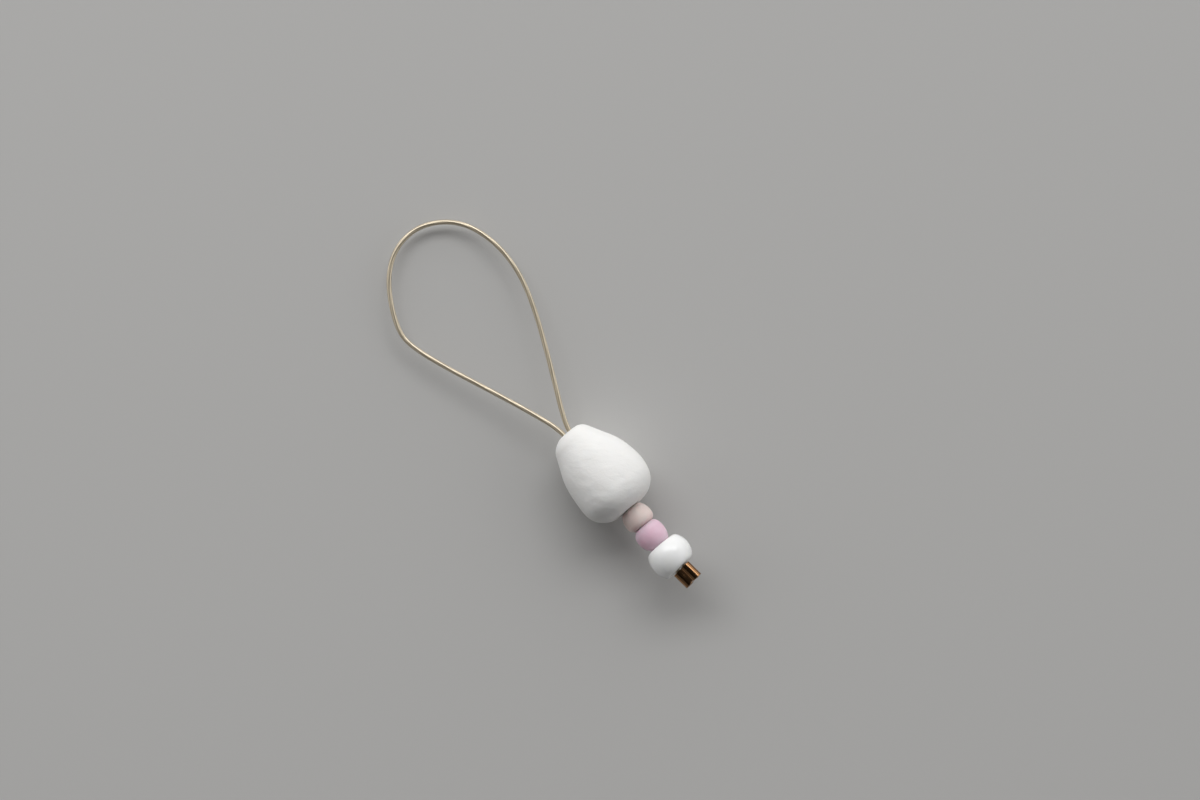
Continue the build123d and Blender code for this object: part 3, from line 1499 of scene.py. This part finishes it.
@dataclass
class Crimp:
    """The folded crimp: two lobes side by side, a crease on top, a channel for each wire end.

    Attributes:
        pitch: how far apart its two channels are.
        grip: how much wider than the wire each channel is, in its radius.
        lean: how many degrees it leans to the left of the wire.
        roll: how many degrees its left lobe is lifted.
        crease_round: how softly the crease on top is rounded.
        edge: the rounding of its edges, on those that turn more than edge_above degrees.
        notch_depth: how far the fold draws in the middle of its outer end.
        notch_power: how close to that end the notch stays.
        hammer: how high the faint unevenness is that the pliers leave.
    """

    length: float = 1.8
    wall: float = 0.3
    pitch: float = 0.98
    grip: float = 0.03
    lean: float = 5.5
    roll: float = 20
    wire_diameter: float = WIRE_DIAMETER
    crease_round: float = 0.07
    edge: float = 0.05
    edge_steps: int = 3
    edge_above: float = 50
    smooth_below: float = 40
    notch_depth: float = 0.12
    notch_width: float = 0.3
    notch_power: float = 6
    arc_steps: int = 44
    flat_steps: int = 8
    rings: int = 12
    hammer: float = 0.008
    hammer_size: float = 0.5
    hammer_seed: float = 6.3
    weld_distance: float = 0.00008

    def lobe(self) -> float:
        """The radius of each lobe."""
        return self.wire_diameter / 2 + self.grip + self.wall

    def frame_on(self, wire: LocalFrame) -> LocalFrame:
        """The crimp's own frame, with its origin in the middle of its inner end.

        Args:
            wire: the wire's frame.

        Returns:
            The frame, leaning and rolled as the crimp is.
        """
        measure = NodeMeasure.of("crimp_tube", wire)
        half_width = self.pitch / 2 * math.cos(math.radians(self.roll)) + self.lobe()
        corner_lead = half_width * math.sin(math.radians(self.lean))
        return wire.turned(measure.start + corner_lead, self.lean, self.roll)

    def half_section(self) -> np.ndarray:
        """The outside of the left half of the section.

        Returns:
            Rows of distance from the middle and height, from the crease on top round the lobe to the flat
            underside and back to the middle.
        """
        lobe = self.lobe()
        centre = self.pitch / 2
        rows = []
        lowest_turn = -math.pi / 2
        highest_turn = math.pi - math.acos(centre / lobe)
        for k in range(self.arc_steps + 1):
            turn = highest_turn + (lowest_turn - highest_turn) * k / self.arc_steps
            across = centre + lobe * math.cos(turn)
            height = lobe * math.sin(turn)
            if turn > math.pi / 2:
                softened = math.sqrt(across**2 + self.crease_round**2)
                height = math.sqrt(max(lobe**2 - (centre - softened) ** 2, 0))
            rows.append((max(across, 0), height))
        rows += [(centre * (1 - k / self.flat_steps), -lobe) for k in range(1, self.flat_steps + 1)]
        top = rows[0][1]
        rise = top + lobe
        rows += [(0, -lobe + rise * k / self.flat_steps) for k in range(1, self.flat_steps)]
        return np.array(rows)

    def build(self, wire: LocalFrame, finish: CrimpFinish) -> bpy.types.Object:
        """Makes the crimp.

        Args:
            wire: the wire's frame.
            finish: the crimp's finish.

        Returns:
            The crimp, riding on the wire.
        """
        grip = self.frame_on(wire)
        section = self.half_section()
        centre = self.pitch / 2
        angle = np.arctan2(section[:, 1], section[:, 0] - centre)
        channel_radius = self.wire_diameter / 2 + self.grip
        channel = np.column_stack(
            [centre + channel_radius * np.cos(angle), channel_radius * np.sin(angle)]
        )
        places = np.linspace(0, self.length, self.rings)
        shell = Shell()
        for side in Side:
            outer = self.stack(section, places, side)
            inner = self.stack(channel, places, side)
            outer_numbers = shell.add_points(self.hammered(outer, grip))
            inner_numbers = shell.add_points(grip.points(inner))
            self.add_skins(shell, section, outer_numbers, inner_numbers)
        piece = shell.build("crimp_tube_folded", smooth_below=self.smooth_below)
        self.weld(piece)
        finish.dress(piece)
        bevel = piece.modifiers.new("edges", "BEVEL")
        bevel.width = self.edge * MM
        bevel.segments = self.edge_steps
        bevel.limit_method = "ANGLE"
        bevel.angle_limit = math.radians(self.edge_above)
        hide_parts("crimp_tube")
        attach(piece, "wire")
        return piece

    def stack(self, section: np.ndarray, places: np.ndarray, side: Side) -> np.ndarray:
        """Rings of a half section along the crimp, the last drawn in at the fold's notch.

        Args:
            section: rows of distance from the middle and height.
            places: the rings' places along the crimp.
            side: which half it is.

        Returns:
            An array of rings of points in the crimp's frame.
        """
        nearness = np.clip(1 - section[:, 0] / self.notch_width, 0, 1)
        rings = []
        for place in places:
            drawn_in = self.notch_depth * nearness * (place / self.length) ** self.notch_power
            rings.append(np.column_stack([place - drawn_in, side.value * section[:, 0], section[:, 1]]))
        return np.array(rings)

    def hammered(self, rings: np.ndarray, grip: LocalFrame) -> np.ndarray:
        """The outer rings with the faint unevenness that the pliers leave.

        Args:
            rings: rings of points in the crimp's frame.
            grip: the crimp's frame.

        Returns:
            The rings in metres.
        """
        flat = rings.reshape(-1, 3)
        lobe = self.lobe()
        swell = 1 - self.hammer / lobe * (1 + ripple(flat, self.hammer_size, self.hammer_seed))
        uneven = flat.copy()
        uneven[:, 2] *= swell
        return grip.points(uneven).reshape(rings.shape)

    def add_skins(
        self, shell: Shell, section: np.ndarray, outer: np.ndarray, inner: np.ndarray
    ) -> None:
        """Adds one half's outside, channel and end faces; the middle stays open to the other half.

        Args:
            shell: the shell that they join.
            section: the half section that the rings follow.
            outer: the outer rings' point numbers.
            inner: the channel rings' point numbers.
        """
        rings, count = outer.shape
        middle = section[:, 0] < TINY
        for j in range(count):
            after = (j + 1) % count
            for i in range(rings - 1):
                if not (middle[j] and middle[after]):
                    shell.faces.append((outer[i, j], outer[i + 1, j], outer[i + 1, after], outer[i, after]))
                shell.faces.append((inner[i, j], inner[i + 1, j], inner[i + 1, after], inner[i, after]))
            for i in (0, rings - 1):
                shell.faces.append((outer[i, j], outer[i, after], inner[i, after], inner[i, j]))

    def weld(self, piece: bpy.types.Object) -> None:
        """Joins the two halves along the middle and turns every face outward.

        Args:
            piece: the crimp.
        """
        tidy = bmesh.new()
        tidy.from_mesh(piece.data)
        bmesh.ops.remove_doubles(tidy, verts=tidy.verts, dist=self.weld_distance * MM)
        bmesh.ops.recalc_face_normals(tidy, faces=tidy.faces)
        tidy.to_mesh(piece.data)
        tidy.free()


# Studio


@dataclass
class Studio:
    """A plain pale floor, one large soft window light and a room that is brighter on one side.

    The camera looks straight down. Sizes and places are in metres, the lens and the sensor in millimetres.
    """

    floor_size: float = 2.4
    field_width: float = 0.12
    field_height: float = 0.0035
    centre: tuple[float, float] = (-0.00667, 0.0047)
    turn: float = 49.7
    lens: float = 150
    sensor: float = 36
    near_share: float = 0.01
    key_turn: float = 148
    key_elevation: float = 48
    key_distance: float = 0.6
    key_width: float = 0.8
    key_height: float = 0.24
    key_power: float = 2.15
    room_levels: Stations = ((0.0, 1.0), (0.6, 0.9), (0.76, 0.1), (0.86, 0.03))
    side_levels: Stations = ((0.0, 0.1), (0.32, 0.15), (0.48, 0.92), (1.0, 1.0))
    room_turn: float = 128
    room_strength: float = 1.3
    background: Colour = (0.75, 0.75, 0.75)

    def build_floor(self) -> bpy.types.Object:
        """The floor, which isn't part of the marker.

        Returns:
            The floor.
        """
        half = self.floor_size / 2
        mesh = bpy.data.meshes.new("floor")
        corners = [(-half, -half, 0), (half, -half, 0), (half, half, 0), (-half, half, 0)]
        mesh.from_pydata(corners, [], [(0, 1, 2, 3)])
        floor = bpy.data.objects.new("floor", mesh)
        bpy.context.collection.objects.link(floor)
        FloorFinish().dress(floor)
        return floor

    def level_direction(self, turn: float) -> Vector:
        """The level direction at a turn in degrees."""
        return Vector((math.cos(math.radians(turn)), math.sin(math.radians(turn)), 0))

    def build_key(self) -> bpy.types.Object:
        """The window light.

        Returns:
            The light, turned to the middle of the marker.
        """
        lamp = bpy.data.lights.new("window", "AREA")
        lamp.shape = "RECTANGLE"
        lamp.size = self.key_width
        lamp.size_y = self.key_height
        lamp.energy = self.key_power
        light = bpy.data.objects.new("window", lamp)
        elevation = math.radians(self.key_elevation)
        level = self.level_direction(self.key_turn)
        toward = level * math.cos(elevation) + Vector((0, 0, math.sin(elevation)))
        light.location = toward * self.key_distance
        light.rotation_euler = toward.to_track_quat("Z", "Y").to_euler()
        bpy.context.collection.objects.link(light)
        return light

    def build_world(self) -> None:
        """The room: brighter low down and on one side, dark overhead, and plain to the camera."""
        world = bpy.data.worlds.new("room")
        world.use_nodes = True
        world.node_tree.nodes.clear()
        graph = Graph(world.node_tree)
        direction = graph.add("ShaderNodeTexCoord").outputs["Generated"]
        height = graph.add("ShaderNodeSeparateXYZ", {0: direction}).outputs[2]
        facing = graph.add(
            "ShaderNodeVectorMath",
            {0: direction, 1: self.level_direction(self.room_turn)},
            operation="DOT_PRODUCT",
        ).outputs["Value"]
        side = graph.ramp(graph.zero_to_one(facing), self.side_levels)
        level = graph.math("MULTIPLY", graph.ramp(height, self.room_levels), side)
        room = graph.add("ShaderNodeBackground", {"Color": level, "Strength": self.room_strength})
        plain = graph.add("ShaderNodeBackground", {"Color": opaque(self.background), "Strength": 1.0})
        seen = graph.add("ShaderNodeLightPath").outputs["Is Camera Ray"]
        mixed = graph.add("ShaderNodeMixShader", {0: seen, 1: room.outputs[0], 2: plain.outputs[0]})
        graph.add("ShaderNodeOutputWorld", {"Surface": mixed.outputs[0]})
        bpy.context.scene.world = world

    def build_camera(self) -> bpy.types.Object:
        """The camera, looking straight down on the marker.

        Returns:
            The camera, set as the scene's own.
        """
        data = bpy.data.cameras.new("camera")
        data.lens = self.lens
        data.sensor_width = self.sensor
        distance = self.field_width * self.lens / self.sensor
        data.clip_start = distance * self.near_share
        camera = bpy.data.objects.new("camera", data)
        camera.location = (*self.centre, self.field_height + distance)
        camera.rotation_euler = (0, 0, math.radians(self.turn))
        bpy.context.collection.objects.link(camera)
        bpy.context.scene.camera = camera
        return camera

    def build(self) -> None:
        """Builds the floor, the light, the room and the camera."""
        self.build_floor()
        self.build_key()
        self.build_world()
        self.build_camera()
        bpy.context.scene.view_settings.view_transform = "Standard"


def report(piece: bpy.types.Object) -> None:
    """Logs a piece's name and how many faces it has."""
    log.info("%s: %d faces", piece.name, len(piece.data.polygons))


def main() -> None:
    """Builds the studio, then the marker piece by piece."""
    logging.basicConfig(level=logging.INFO, format="%(message)s")
    hinge = next(joint for joint in frame["joints"] if joint["name"] == "clay_bead_spin")
    wire_frame = LocalFrame(Vector(hinge["pos_m"]), Vector(hinge["axis"]))
    Studio().build()
    wire = BeadingWire()
    wire_finish = WireFinish()
    crimp = Crimp()
    pearl_place = NodeMeasure.of("pearl_bead", wire_frame)
    report(wire.build_loop(wire_frame, wire_finish))
    report(crimp.build(wire_frame, CrimpFinish()))
    for side in Side:
        report(wire.build_end(wire_frame, crimp, pearl_place, side, wire_finish))
    report(ClayBead().build(wire_frame, ClayFinish()))
    for bead in GLASS_BEADS:
        report(bead.build(wire_frame))


if __name__ == "__main__":
    main()
